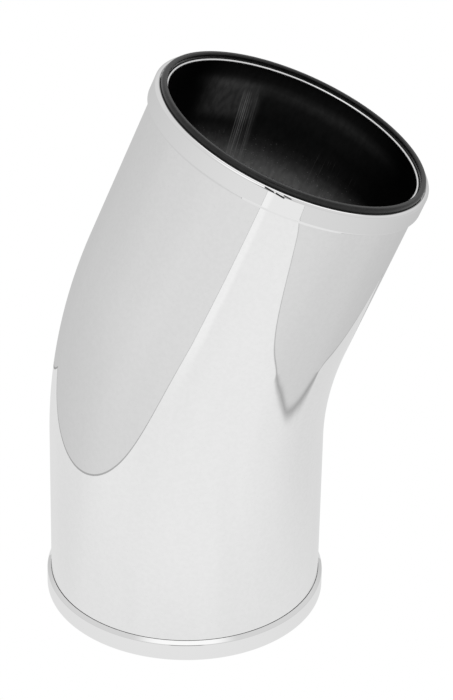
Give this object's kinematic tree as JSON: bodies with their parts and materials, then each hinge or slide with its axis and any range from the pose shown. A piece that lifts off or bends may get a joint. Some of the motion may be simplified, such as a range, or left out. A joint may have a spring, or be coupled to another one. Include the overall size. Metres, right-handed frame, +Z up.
{
  "type": "flue elbow",
  "caption": "Shallow-bend double-wall flue elbow: polished outer casing, black-lined inner liner, a raised collar at each end and a proud black seal ring at the upper mouth.",
  "frame": {"origin": "middle of the elbow's bounding box at the base, on the surface it stands on", "axes": "+Z up along the lower leg, +X the way the pipe bends, XZ the plane of symmetry"},
  "size_m": [0.2172, 0.166, 0.3343],
  "materials": {
    "casing": "mirror-polished stainless steel",
    "collar": "mirror-polished stainless steel",
    "liner": "satin black heat-resistant coating inside, bare bright cut ends",
    "seal": "satin black moulded seal",
    "spacer": "plain rolled strip"
  },
  "bodies": {
    "root": {"outer_casing": "casing", "inner_liner": "liner", "upper_collar": "collar", "lower_collar": "collar", "upper_seal_ring": "seal", "lower_seal_ring": "seal", "lower_spacer_1": "spacer", "lower_spacer_2": "spacer", "lower_spacer_3": "spacer", "bend_spacer_1": "spacer", "bend_spacer_2": "spacer", "bend_spacer_3": "spacer", "upper_spacer_1": "spacer", "upper_spacer_2": "spacer", "upper_spacer_3": "spacer"}
  },
  "joints": []
}
